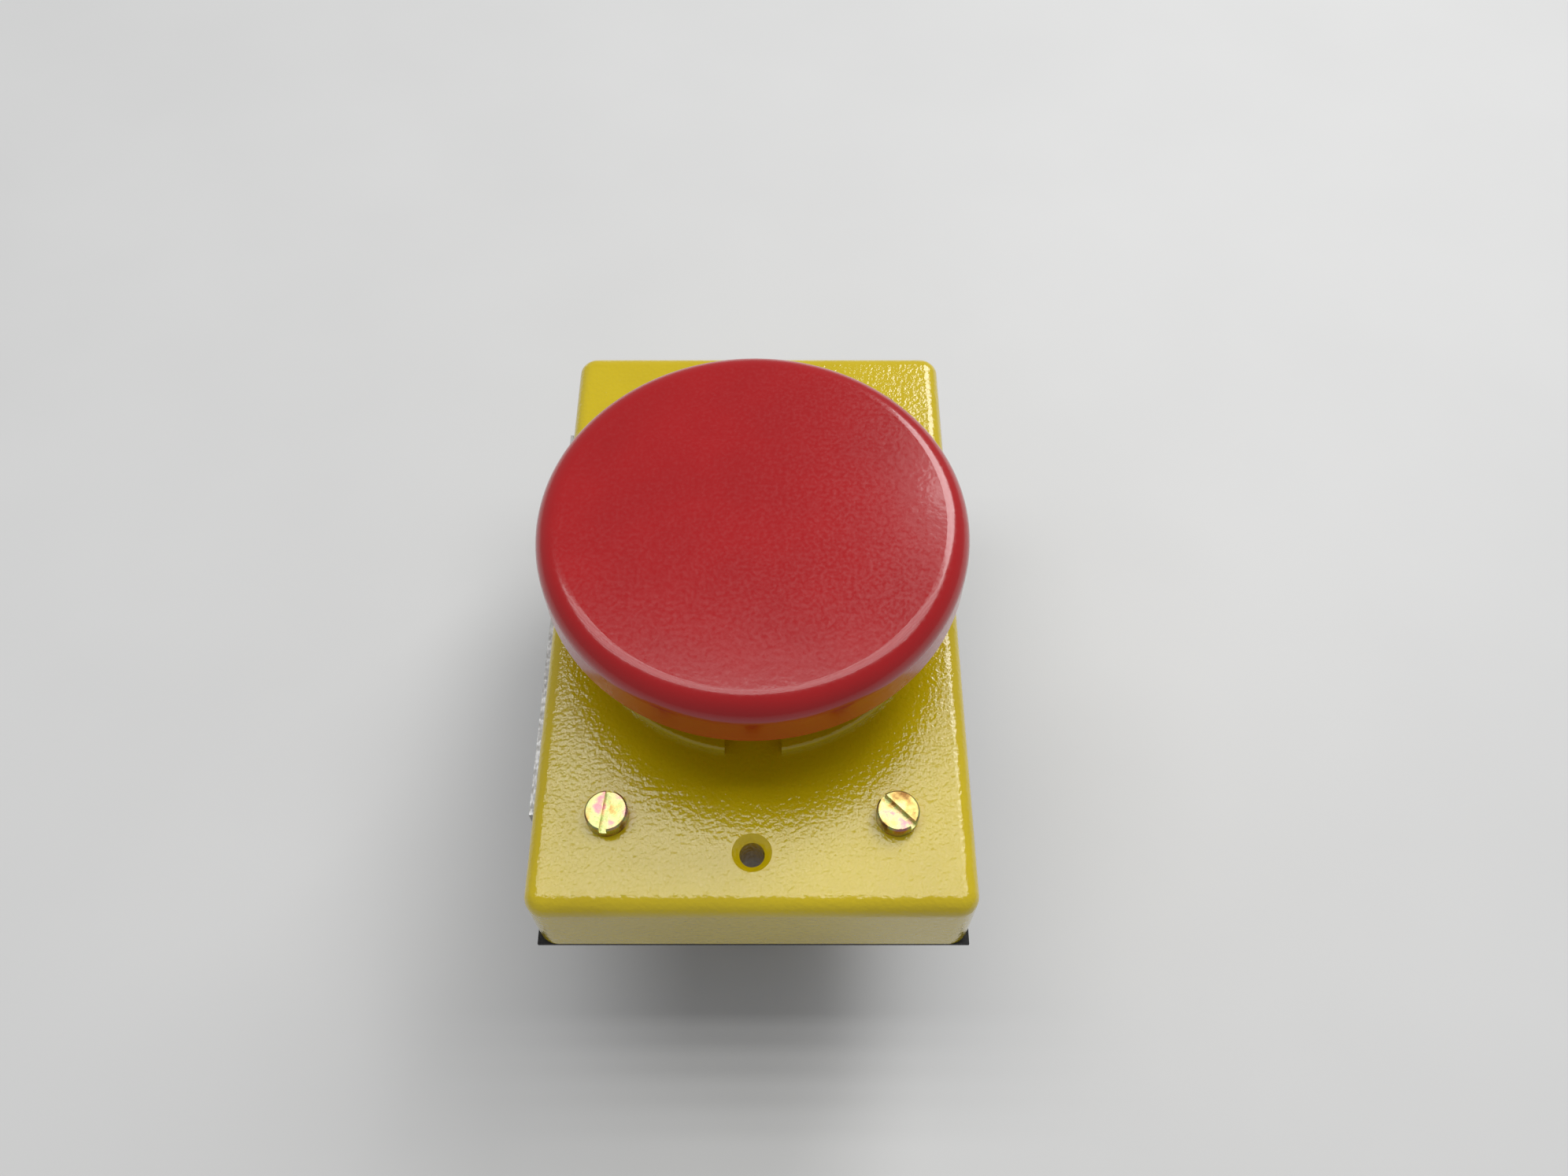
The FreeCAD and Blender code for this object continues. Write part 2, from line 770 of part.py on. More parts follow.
def make_head():
    """The hollow palm head with its hub and four ribs."""
    body = new_body("PalmHead")
    disc = sketch_on(body, "XY_Plane", "head_rim")
    draw_circle(disc, "head_diameter")
    pad(body, disc, "head_top - head_rim")
    top = number("head_top")
    dress(body, "Fillet", "head_edge_radius", lambda edge: lies_at(edge, top))
    hollow = sketch_on(body, "XY_Plane", "head_rim")
    draw_circle(hollow, "head_diameter - 2 * head_wall")
    pocket(body, hollow, "head_ceiling - head_rim", along_normal=True)
    hub = sketch_on(body, "XY_Plane", "hub_bottom")
    draw_circle(hub, "hub_diameter")
    pad(body, hub, "head_ceiling - hub_bottom")
    inner = "(head_diameter / 2 - head_wall)"
    thickness = "rib_thickness / 2"
    for turn in (45, 135):
        ribs = sketch_on(body, "XY_Plane", "head_ceiling - rib_height")
        ribs.AttachmentOffset = Placement(ribs.AttachmentOffset.Base, Rotation(Vector(0, 0, 1), turn))
        draw_rectangle(ribs, f"-{inner}", inner, f"-{thickness}", thickness)
        pad(body, ribs, "rib_height")
    bore = sketch_on(body, "XY_Plane", "hub_bottom")
    draw_circle(bore, "stud_diameter + 2 * thread_gap")
    pocket(body, bore, "stud_length + press_gap", along_normal=True)
    cross = sketch_on(body, "YZ_Plane")
    draw_circle(cross, "grub_diameter + 2 * thread_gap", "0", "hub_bottom + grub_height")
    pocket(body, cross, "hub_diameter", along_normal=True)
    keep("palm_head", body)


def make_grub_screw():
    """The set screw that locks the head on the stem's stud."""
    screw = rod("GrubScrew", "grub_diameter", "0", "hub_diameter / 2 - stud_diameter / 2 - thread_gap - 0.5")
    socket = hexagon("GrubSocket", "grub_diameter / 2", "grub_diameter", "hub_diameter")
    grub = cut("Grub", screw, socket)
    grub.Placement = Placement(Vector(), Rotation(Vector(0, 1, 0), 90))
    place_at(grub, "stud_diameter / 2 + thread_gap", "0", "hub_bottom + grub_height")
    keep("head_grub_screw", grub)


# --- switch frame -----------------------------------------------------------------------------------


def make_switch_frame():
    """The plated hat section that hangs the contact block behind the cover."""
    body = new_body("SwitchFrame")
    hat = sketch_on(body, "XZ_Plane")
    right = [
        ("leg_outer", "web_bottom"),
        ("leg_outer", "rail_bottom"),
        ("rail_outer", "rail_bottom"),
        ("rail_outer", "rail_level"),
        ("leg_inner", "rail_level"),
        ("leg_inner", "web_top"),
    ]
    left = [(f"-{across}", up) for across, up in reversed(right)]
    draw_outline(hat, right + left)
    pad(body, hat, "2 * web_end", symmetric=True)
    rails = sketch_on(body, "XY_Plane", "rail_bottom")
    for across, along in CORNERS:
        near, far = sorted((f"{across} * leg_inner", f"{across} * rail_outer"), key=number)
        low, high = sorted((f"{along} * (web_end - frame_sheet)", f"{along} * rail_end"), key=number)
        draw_rectangle(rails, near, far, low, high)
    pad(body, rails, "frame_sheet")
    holes = sketch_on(body, "XY_Plane")
    draw_circle(holes, "stem_diameter + 2 * web_hole_gap")
    for across, along in CORNERS:
        draw_circle(holes, "screw_hole_diameter", f"{across} * screw_x", f"{along} * screw_y")
    for along in SIDES:
        draw_circle(holes, "bolt_diameter + 2 * bolt_hole_gap", "0", f"{along} * bolt_y")
    draw_circle(holes, "ground_diameter + 2 * thread_gap", "ground_x", "ground_height")
    pocket(body, holes)
    keep("switch_frame", body)


def make_ground_terminal():
    """The green ground screw and its washer, driven up into the right rail from behind."""
    washer_bottom = "rail_bottom - ground_washer_thickness"
    bore = "ground_diameter + 2 * screw_hole_gap"
    ring = washer("GroundWasher", bore, "ground_head_diameter", "-ground_washer_thickness", "0")
    place_at(ring, "ground_x", "ground_height", "rail_bottom")
    keep("ground_washer", ring)
    slot = ("screw_slot_width", "screw_slot_depth")
    length = "ground_washer_thickness + frame_sheet + ground_tail"
    screw = slotted_screw(
        "GroundScrew", "ground_diameter", "ground_head_diameter", "ground_head_height", slot, length
    )
    screw.Placement = Placement(Vector(), Rotation(Vector(1, 0, 0), 180))
    place_at(screw, "ground_x", "ground_height", washer_bottom)
    keep("ground_screw", screw)


# --- contact block ----------------------------------------------------------------------------------


def make_block_base():
    """The moulded base: cavity, carrier guides, contact slots, terminal holes and barriers."""
    body = new_body("BlockBase")
    outside = sketch_on(body, "XY_Plane", "base_bottom")
    draw_centred(outside, "block_width", "block_length")
    pad(body, outside, "base_top - base_bottom")
    barriers = sketch_on(body, "XY_Plane", "base_bottom")
    middles = ("0", "block_width / 2 - barrier_thickness / 2", "barrier_thickness / 2 - block_width / 2")
    for middle in middles:
        left = f"{middle} - barrier_thickness / 2"
        right = f"{middle} + barrier_thickness / 2"
        draw_rectangle(barriers, left, right, "block_length / 2 - 1", "block_length / 2 + barrier_reach")
        draw_rectangle(barriers, left, right, "-block_length / 2 - barrier_reach", "1 - block_length / 2")
    pad(body, barriers, "base_top - base_bottom")
    cavity = sketch_on(body, "XY_Plane", "base_top")
    draw_centred(cavity, "cavity_width", "cavity_length")
    pocket(body, cavity, "base_top - cavity_floor")
    pads = sketch_on(body, "XY_Plane", "cavity_floor")
    inner = "(carrier_width / 2 + guide_gap)"
    outer = f"({inner} + guide_pad)"
    pad_half = "guide_pad_width / 2"
    draw_rectangle(pads, inner, outer, f"-{pad_half}", pad_half)
    draw_rectangle(pads, f"-{outer}", f"-{inner}", f"-{pad_half}", pad_half)
    pad(body, pads, "base_top - cavity_floor")
    cut_contact_slots(body)
    cut_block_holes(body)
    keep("contact_block_base", body)


def cut_contact_slots(body):
    """The slots in the end walls that hold the fixed contact strips."""
    upper = sketch_on(body, "XZ_Plane")
    lower = sketch_on(body, "XZ_Plane")
    half = "strip_width / 2"
    draw_rectangle(
        upper, f"-contact_offset - {half}", f"{half} - contact_offset", "closed_strip_bottom", "base_top + 1"
    )
    pocket(body, upper)
    draw_rectangle(
        lower, f"contact_offset - {half}", f"contact_offset + {half}", "cavity_floor", "open_strip_top"
    )
    pocket(body, lower)


def cut_block_holes(body):
    """The blind terminal holes in both ends, and the two bolt holes with sunk heads."""
    for along, direction in zip(SIDES, (False, True)):
        end = sketch_on(body, "XZ_Plane", f"{-along} * block_length / 2")
        for across in SIDES:
            bore = "terminal_diameter + 2 * thread_gap"
            draw_circle(end, bore, f"{across} * contact_offset", "terminal_level")
        pocket(body, end, "terminal_depth + rest_gap", along_normal=direction)
    sink = sketch_on(body, "XY_Plane", "base_bottom")
    bolts = sketch_on(body, "XY_Plane")
    for along in SIDES:
        draw_circle(sink, "bolt_head_diameter + 2 * bolt_sink_gap", "0", f"{along} * bolt_y")
        draw_circle(bolts, "bolt_diameter + 2 * bolt_hole_gap", "0", f"{along} * bolt_y")
    pocket(body, sink, "bolt_head_height + bolt_sink_gap", along_normal=True)
    pocket(body, bolts)


def make_block_lid():
    """The moulded lid between the base and the frame's web."""
    body = new_body("BlockLid")
    outside = sketch_on(body, "XY_Plane", "base_top")
    draw_centred(outside, "block_width", "block_length")
    pad(body, outside, "lid_thickness")
    holes = sketch_on(body, "XY_Plane")
    draw_circle(holes, "stem_diameter + 2 * lid_hole_gap")
    for along in SIDES:
        draw_circle(holes, "bolt_diameter + 2 * bolt_hole_gap", "0", f"{along} * bolt_y")
    pocket(body, holes)
    keep("contact_block_lid", body)


def make_block_fasteners():
    """The two screws up through base, lid and web, and their nuts on the web."""
    screws = []
    nuts = []
    head_seat = "base_bottom + bolt_sink_gap + bolt_head_height"
    length = f"web_top - ({head_seat}) + bolt_nut_height + bolt_tail"
    slot = ("bolt_slot_width", "bolt_slot_depth")
    for along in SIDES:
        head = ("bolt_head_diameter", "bolt_head_height")
        screw = slotted_screw("BlockScrew", "bolt_diameter", *head, slot, length)
        screw.Placement = Placement(Vector(), Rotation(Vector(1, 0, 0), 180))
        place_at(screw, "0", f"{along} * bolt_y", head_seat)
        screws.append(screw)
        nut = hex_nut("bolt_nut_flats", "bolt_nut_height", "bolt_diameter")
        place_at(nut, "0", f"{along} * bolt_y", "web_top + bolt_nut_height")
        nuts.append(nut)
    keep("block_screws", screws, solids=2)
    keep("block_nuts", nuts, solids=2)


def fixed_contact(along, across, strip_low, plate_low, plate_high):
    """One bent contact: a strip through the end wall and its terminal plate outside."""
    left = f"{across} * contact_offset - strip_width / 2"
    right = f"{across} * contact_offset + strip_width / 2"
    strip_ends = sorted((f"{along} * strip_start", f"{along} * plate_outer"), key=number)
    plate_ends = sorted((f"{along} * block_length / 2", f"{along} * plate_outer"), key=number)
    strip = block("Strip", (left, right), strip_ends, (strip_low, f"{strip_low} + strip_thickness"))
    plate = block("Plate", (left, right), plate_ends, (plate_low, plate_high))
    hole = rod("PlateHole", "terminal_diameter + 2 * thread_gap", "0", "block_length")
    hole.Placement = Placement(Vector(), Rotation(Vector(1, 0, 0), -90 * along))
    place_at(hole, f"{across} * contact_offset", "0", "terminal_level")
    return cut("FixedContact", fuse("Bent", strip, plate), hole)


def make_fixed_contacts():
    """The closed pair on the left, high in the block, and the open pair on the right, on its floor."""
    closed = []
    opened = []
    for along in SIDES:
        closed.append(
            fixed_contact(along, -1, "closed_strip_bottom", "base_top - plate_drop", "base_top")
        )
        opened.append(
            fixed_contact(along, 1, "cavity_floor", "cavity_floor", "cavity_floor + plate_drop")
        )
    keep("fixed_contacts_nc", closed, solids=2)
    keep("fixed_contacts_no", opened, solids=2)


def make_tips(name, closed_levels, open_levels):
    """Four contact tips: two on the closed side and two on the open side."""
    tips = []
    for along in SIDES:
        for across, levels in zip(SIDES, (closed_levels, open_levels)):
            x = f"{across} * contact_offset"
            tips.append(rod("Tip", "tip_diameter", *levels, x, f"{along} * contact_pitch / 2"))
    keep(name, tips, solids=4)


def make_terminals():
    """The four terminal screws in the block's ends, each with its square clamp."""
    screws = []
    clamps = []
    slot = ("screw_slot_width", "screw_slot_depth")
    length = "clamp_thickness + strip_thickness + terminal_depth"
    half = "clamp_size / 2"
    for along in SIDES:
        lie_down = Placement(Vector(), Rotation(Vector(1, 0, 0), -90 * along))
        for across in SIDES:
            spot = (f"{across} * contact_offset", f"{along} * clamp_outer", "terminal_level")
            head = ("terminal_head_diameter", "terminal_head_height")
            screw = slotted_screw("Terminal", "terminal_diameter", *head, slot, length)
            screw.Placement = lie_down
            place_at(screw, *spot)
            screws.append(screw)
            square = block("Square", (f"-{half}", half), (f"-{half}", half), ("-clamp_thickness", "0"))
            bore = rod("ClampBore", "terminal_diameter + 2 * screw_hole_gap", "-clamp_thickness", "0")
            clamp = cut("Clamp", square, bore)
            clamp.Placement = lie_down
            place_at(clamp, *spot)
            clamps.append(clamp)
    keep("terminal_screws", screws, solids=4)
    keep("terminal_clamps", clamps, solids=4)


def make_carrier():
    """The moving carrier: neck, body, a window for each bridge and a bore for its spring."""
    body = new_body("Carrier")
    outside = sketch_on(body, "XY_Plane", "carrier_bottom")
    draw_centred(outside, "carrier_width", "carrier_depth")
    pad(body, outside, "carrier_top - carrier_bottom")
    neck = sketch_on(body, "XY_Plane", "carrier_top")
    draw_circle(neck, "stem_diameter - 2 * neck_step")
    pad(body, neck, "neck_top - carrier_top")
    windows = sketch_on(body, "XZ_Plane")
    half = "window_width / 2"
    for across in SIDES:
        middle = f"{across} * contact_offset"
        draw_rectangle(windows, f"{middle} - {half}", f"{middle} + {half}", "window_bottom", "window_top")
    pocket(body, windows)
    bore = sketch_on(body, "XY_Plane", "carrier_bottom")
    draw_circle(bore, "carrier_bore")
    pocket(body, bore, "carrier_bore_depth", along_normal=True)
    keep("contact_carrier", body)


def make_bridges():
    """The two bridges that ride in the carrier's windows, each pressed by its own small spring."""
    ends = ("-bridge_length / 2", "bridge_length / 2")
    half = "bridge_width / 2"
    closed_x = (f"-contact_offset - {half}", f"{half} - contact_offset")
    open_x = (f"contact_offset - {half}", f"contact_offset + {half}")
    keep("bridge_nc", block("ClosedBridge", closed_x, ends, ("closed_bridge_bottom", "closed_bridge_top")))
    keep("bridge_no", block("OpenBridge", open_x, ends, ("open_bridge_bottom", "open_bridge_top")))
    wire = "bridge_spring_wire"
    turns = "bridge_spring_turns"
    spans = (("window_bottom", "closed_bridge_bottom"), ("open_bridge_top", "window_top"))
    springs = []
    for across, (low, high) in zip(SIDES, spans):
        x = f"{across} * contact_offset"
        springs.append(coil("BridgeSpring", "bridge_spring_diameter", wire, low, high, turns, x))
    keep("bridge_springs", springs, solids=2)


def make_springs():
    """The plunger's return spring on the web, and the carrier's spring on the cavity floor."""
    keep(
        "return_spring",
        coil("ReturnSpring", "spring_diameter", "spring_wire", "web_top", "spring_top", "spring_turns"),
    )
    wire = "carrier_spring_wire"
    turns = "carrier_spring_turns"
    spring = coil("CarrierSpring", "carrier_spring_diameter", wire, "cavity_floor", "bore_top", turns)
    keep("carrier_spring", spring)


# --- checks and export ------------------------------------------------------------------------------


def check_model():
    """Stop if any object failed, or if a node isn't the valid solids that it should be."""
    doc.recompute()
    for thing in doc.Objects:
        if {"Invalid", "Error"} & set(thing.State):
            raise RuntimeError(f"{thing.Label} failed: {thing.State}")
    for node, solids in nodes:
        if node.Shape.isNull() or not node.Shape.isValid():
            raise RuntimeError(f"{node.Label} has no valid shape")
        if len(node.Shape.Solids) != solids:
            raise RuntimeError(f"{node.Label} has {len(node.Shape.Solids)} solids, not {solids}")


def export_nodes():
    """Write every node to parts/, under its own name."""
    os.makedirs("parts", exist_ok=True)
    for node, solids in nodes:
        node.Shape.exportStep(f"parts/{node.Label}.step")
        print(f"{node.Label}: {solids} solids, {node.Shape.Volume:.1f} mm3")


make_cover()
make_gasket()
make_rating_plate()
make_cover_screws()
make_frame_fasteners()
make_guide()
make_stem()
make_stem_rings()
make_head()
make_grub_screw()
make_switch_frame()
make_ground_terminal()
make_block_base()
make_block_lid()
make_block_fasteners()
make_fixed_contacts()
make_tips(
    "fixed_contact_tips",
    ("closed_tip_bottom", "closed_strip_bottom"),
    ("open_strip_top", "open_tip_top"),
)
make_terminals()
make_carrier()
make_bridges()
make_tips(
    "moving_contact_tips",
    ("closed_bridge_top", "closed_bridge_top + tip_height"),
    ("open_bridge_bottom - tip_height", "open_bridge_bottom"),
)
make_springs()
check_model()
export_nodes()
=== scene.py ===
"""Finishes, springs and studio of a palm push button, built round its packed construction."""

import json
import logging
import math
from dataclasses import dataclass, field
from enum import Enum
from typing import Dict, List, Optional, Sequence, Tuple

import bmesh
import bpy
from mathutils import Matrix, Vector

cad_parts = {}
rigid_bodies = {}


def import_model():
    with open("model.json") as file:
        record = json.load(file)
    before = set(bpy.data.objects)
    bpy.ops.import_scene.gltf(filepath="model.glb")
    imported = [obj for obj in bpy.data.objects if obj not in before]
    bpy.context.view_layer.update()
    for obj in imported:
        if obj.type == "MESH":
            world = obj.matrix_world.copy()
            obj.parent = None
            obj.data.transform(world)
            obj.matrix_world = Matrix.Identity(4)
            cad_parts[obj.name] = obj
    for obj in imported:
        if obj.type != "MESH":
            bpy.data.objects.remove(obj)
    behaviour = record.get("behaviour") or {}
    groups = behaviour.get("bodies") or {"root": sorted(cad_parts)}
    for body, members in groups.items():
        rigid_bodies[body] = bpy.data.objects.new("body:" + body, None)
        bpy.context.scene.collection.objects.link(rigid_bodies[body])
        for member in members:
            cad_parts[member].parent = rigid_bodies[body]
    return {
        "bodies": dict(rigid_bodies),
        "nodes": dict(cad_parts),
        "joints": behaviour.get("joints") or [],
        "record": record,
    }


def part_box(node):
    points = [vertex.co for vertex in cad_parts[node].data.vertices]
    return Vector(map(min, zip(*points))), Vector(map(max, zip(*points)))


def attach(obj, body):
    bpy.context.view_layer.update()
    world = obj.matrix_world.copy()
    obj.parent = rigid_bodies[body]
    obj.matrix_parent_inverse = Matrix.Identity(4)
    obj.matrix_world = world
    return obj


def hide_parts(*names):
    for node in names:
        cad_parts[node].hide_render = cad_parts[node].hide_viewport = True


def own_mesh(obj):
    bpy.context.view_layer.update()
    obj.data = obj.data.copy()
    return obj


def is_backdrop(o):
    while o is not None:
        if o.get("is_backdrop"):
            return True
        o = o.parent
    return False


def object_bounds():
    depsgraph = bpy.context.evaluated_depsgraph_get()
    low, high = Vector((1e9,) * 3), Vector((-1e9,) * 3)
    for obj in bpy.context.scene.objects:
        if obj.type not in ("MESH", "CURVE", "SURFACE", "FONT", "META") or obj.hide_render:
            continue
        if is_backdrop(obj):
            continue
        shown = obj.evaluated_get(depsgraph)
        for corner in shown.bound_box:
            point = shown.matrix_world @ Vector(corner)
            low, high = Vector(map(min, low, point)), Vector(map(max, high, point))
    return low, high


Colour = Tuple[float, float, float]
Point = Tuple[float, float, float]
WEAKEST_NOISE = 0.3
STRONGEST_NOISE = 0.7
STEPS_PER_TURN = 36
log = logging.getLogger("palm_button")


class Socket(Enum):
    """The shader inputs that the finishes set."""

    COLOUR = "Base Color"
    METAL = "Metallic"
    ROUGH = "Roughness"
    NORMAL = "Normal"
    COAT = "Coat Weight"
    COAT_ROUGH = "Coat Roughness"
    COAT_NORMAL = "Coat Normal"


class NodeSheet:
    """A material's node tree, with short ways to add what the finishes need."""

    def __init__(self, name: str) -> None:
        """Make an empty material round one principled shader."""
        self.material = bpy.data.materials.new(name)
        self.material.use_nodes = True
        self.tree = self.material.node_tree
        self.shader = self.tree.nodes["Principled BSDF"]
        self.place = self.tree.nodes.new("ShaderNodeTexCoord").outputs["Object"]

    def set(self, socket: Socket, content: object) -> None:
        """Set one shader input to a plain value."""
        self.shader.inputs[socket.value].default_value = content

    def join(self, source: bpy.types.NodeSocket, socket: Socket) -> None:
        """Link a node's output to one shader input."""
        self.tree.links.new(source, self.shader.inputs[socket.value])

    def noise(
        self, feature: float, detail: float = 3.0, stretch: Point = (1, 1, 1)
    ) -> bpy.types.NodeSocket:
        """Add a noise texture.

        Args:
            feature: the size of its spots in metres.
            detail: its octaves.
            stretch: how much finer it is along each axis.

        Returns:
            The noise's value output.
        """
        mapping = self.tree.nodes.new("ShaderNodeMapping")
        mapping.inputs["Scale"].default_value = stretch
        texture = self.tree.nodes.new("ShaderNodeTexNoise")
        texture.inputs["Scale"].default_value = 1.0 / feature
        texture.inputs["Detail"].default_value = detail
        self.tree.links.new(self.place, mapping.inputs["Vector"])
        self.tree.links.new(mapping.outputs["Vector"], texture.inputs["Vector"])
        return texture.outputs["Fac"]

    def ramp(
        self, source: bpy.types.NodeSocket, stops: Sequence[Tuple[float, Colour]]
    ) -> bpy.types.NodeSocket:
        """Add a colour ramp.

        Args:
            source: the value that drives it.
            stops: pairs of place and colour, in order.

        Returns:
            The ramp's colour output.
        """
        node = self.tree.nodes.new("ShaderNodeValToRGB")
        elements = node.color_ramp.elements
        while len(elements) < len(stops):
            elements.new(0.5)
        for element, (place, colour) in zip(elements, stops):
            element.position = place
            element.color = (*colour, 1.0)
        self.tree.links.new(source, node.inputs["Fac"])
        return node.outputs["Color"]

    def span(self, source: bpy.types.NodeSocket, low: float, high: float) -> bpy.types.NodeSocket:
        """Map a noise's middle range to a range of values."""
        node = self.tree.nodes.new("ShaderNodeMapRange")
        node.inputs["From Min"].default_value = WEAKEST_NOISE
        node.inputs["From Max"].default_value = STRONGEST_NOISE
        node.inputs["To Min"].default_value = low
        node.inputs["To Max"].default_value = high
        self.tree.links.new(source, node.inputs["Value"])
        return node.outputs["Result"]

    def bump(
        self, height: bpy.types.NodeSocket, depth: float, after: Optional[bpy.types.NodeSocket] = None
    ) -> bpy.types.NodeSocket:
        """Add a bump.

        Args:
            height: the value that it follows.
            depth: its depth in metres.
            after: the normal of an earlier bump, if any.

        Returns:
            The bent normal.
        """
        node = self.tree.nodes.new("ShaderNodeBump")
        node.inputs["Strength"].default_value = 1.0
        node.inputs["Distance"].default_value = depth
        self.tree.links.new(height, node.inputs["Height"])
        if after is not None:
            self.tree.links.new(after, node.inputs["Normal"])
        return node.outputs["Normal"]


def shade(colour: Colour, factor: float) -> Colour:
    """A colour made darker or lighter."""
    return tuple(min(1.0, part * factor) for part in colour)


@dataclass(frozen=True)
class Enamel:
    """Glossy paint with orange peel: colour drifts a little and the film is gently uneven."""

    name: str
    colour: Colour
    deep: Colour
    peel_size: float = 0.0011
    peel_depth: float = 0.00007
    wave_size: float = 0.006
    wave_depth: float = 0.00006
    gloss: float = 0.16
    coat: float = 0.6
    drift_size: float = 0.018
    speck_size: float = 0.0006
    coat_rough: float = 0.05

    def build(self) -> bpy.types.Material:
        """Make the material."""
        sheet = NodeSheet(self.name)
        drift = sheet.noise(self.drift_size, 4.0)
        specks = sheet.noise(self.speck_size, 1.0)
        paint = sheet.ramp(drift, [(WEAKEST_NOISE, self.deep), (STRONGEST_NOISE, self.colour)])
        sheet.join(paint, Socket.COLOUR)
        sheet.join(sheet.span(specks, self.gloss * 0.75, self.gloss * 1.4), Socket.ROUGH)
        wave = sheet.bump(sheet.noise(self.wave_size, 2.0), self.wave_depth)
        peel = sheet.bump(sheet.noise(self.peel_size, 2.0), self.peel_depth, wave)
        sheet.join(peel, Socket.NORMAL)
        sheet.join(peel, Socket.COAT_NORMAL)
        sheet.set(Socket.COAT, self.coat)
        sheet.set(Socket.COAT_ROUGH, self.coat_rough)
        return sheet.material


@dataclass(frozen=True)
class Metal:
    """Bare or plated metal with fine drawn or turned lines."""

    name: str
    colour: Colour
    rough: float = 0.32
    grain: float = 0.0004
    stretch: Point = (1, 1, 1)
    depth: float = 0.000006
    stain_size: float = 0.007
    stain_shade: float = 0.78

    def build(self) -> bpy.types.Material:
        """Make the material."""
        sheet = NodeSheet(self.name)
        lines = sheet.noise(self.grain, 3.0, self.stretch)
        stain = sheet.noise(self.stain_size, 4.0)
        stops = [(0.3, shade(self.colour, self.stain_shade)), (0.68, self.colour)]
        sheet.join(sheet.ramp(stain, stops), Socket.COLOUR)
        sheet.join(sheet.span(lines, self.rough * 0.7, self.rough * 1.5), Socket.ROUGH)
        sheet.join(sheet.bump(lines, self.depth), Socket.NORMAL)
        sheet.set(Socket.METAL, 1.0)
        return sheet.material


@dataclass(frozen=True)
class Chromate:
    """Yellow zinc chromate: gold with green, pink and brown clouds."""

    name: str
    rough: float = 0.26
    cloud_size: float = 0.0032
    scratch_size: float = 0.0003
    scratch_depth: float = 0.000008

    def build(self) -> bpy.types.Material:
        """Make the material."""
        sheet = NodeSheet(self.name)
        cloud = sheet.noise(self.cloud_size, 3.0)
        stops = [
            (0.32, (0.20, 0.10, 0.03)),
            (0.42, (0.55, 0.37, 0.12)),
            (0.50, (0.44, 0.50, 0.20)),
            (0.57, (0.66, 0.50, 0.24)),
            (0.66, (0.55, 0.25, 0.26)),
        ]
        sheet.join(sheet.ramp(cloud, stops), Socket.COLOUR)
        scratch = sheet.noise(self.scratch_size, 3.0, (1, 4, 1))
        sheet.join(sheet.span(scratch, self.rough * 0.7, self.rough * 1.6), Socket.ROUGH)
        sheet.join(sheet.bump(scratch, self.scratch_depth), Socket.NORMAL)
        sheet.set(Socket.METAL, 1.0)
        return sheet.material


@dataclass(frozen=True)
class Moulding:
    """Rubber or moulded plastic: matt, with a fine grain and faint dust."""

    name: str
    colour: Colour
    rough: float = 0.55
    grain: float = 0.0004
    depth: float = 0.00002
    dust_size: float = 0.009

    def build(self) -> bpy.types.Material:
        """Make the material."""
        sheet = NodeSheet(self.name)
        dust = sheet.noise(self.dust_size, 5.0)
        grain = sheet.noise(self.grain, 2.0)
        stops = [(0.35, shade(self.colour, 0.8)), (0.75, shade(self.colour, 1.25))]
        sheet.join(sheet.ramp(dust, stops), Socket.COLOUR)
        sheet.join(sheet.span(grain, self.rough * 0.85, min(1.0, self.rough * 1.2)), Socket.ROUGH)
        sheet.join(sheet.bump(grain, self.depth), Socket.NORMAL)
        return sheet.material


def make_piece(
    name: str, mesh: bmesh.types.BMesh, material: bpy.types.Material, body: str
) -> bpy.types.Object:
    """Turn a bmesh into a smooth piece that rides on a body.

    Args:
        name: the piece's name.
        mesh: its geometry, which is freed.
        material: its finish.
        body: the body that carries it.

    Returns:
        The new object.
    """
    bmesh.ops.recalc_face_normals(mesh, faces=mesh.faces)
    data = bpy.data.meshes.new(name)
    mesh.to_mesh(data)
    mesh.free()
    for polygon in data.polygons:
        polygon.use_smooth = True
    data.materials.append(material)
    piece = bpy.data.objects.new(name, data)
    bpy.context.scene.collection.objects.link(piece)
    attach(piece, body)
    return piece


def sweep_tube(mesh: bmesh.types.BMesh, path: Sequence[Vector], radius: float, sides: int = 12) -> None:
    """Add a closed round tube along a path.

    Args:
        mesh: the bmesh that it joins.
        path: its centre points.
        radius: its radius.
        sides: how many sides its section has.
    """
    rings = []
    last = len(path) - 1
    for index, centre in enumerate(path):
        ahead = (path[min(index + 1, last)] - path[max(index - 1, 0)]).normalized()
        across = ahead.cross(Vector((0, 0, 1))).normalized()
        upward = across.cross(ahead)
        ring = []
        for side in range(sides):
            turn = 2 * math.pi * side / sides
            outward = math.cos(turn) * across + math.sin(turn) * upward
            ring.append(mesh.verts.new(centre + radius * outward))
        rings.append(ring)
    for one, two in zip(rings, rings[1:]):
        for side in range(sides):
            following = (side + 1) % sides
            mesh.faces.new((one[side], one[following], two[following], two[side]))
    mesh.faces.new(rings[0])
    mesh.faces.new(tuple(reversed(rings[-1])))


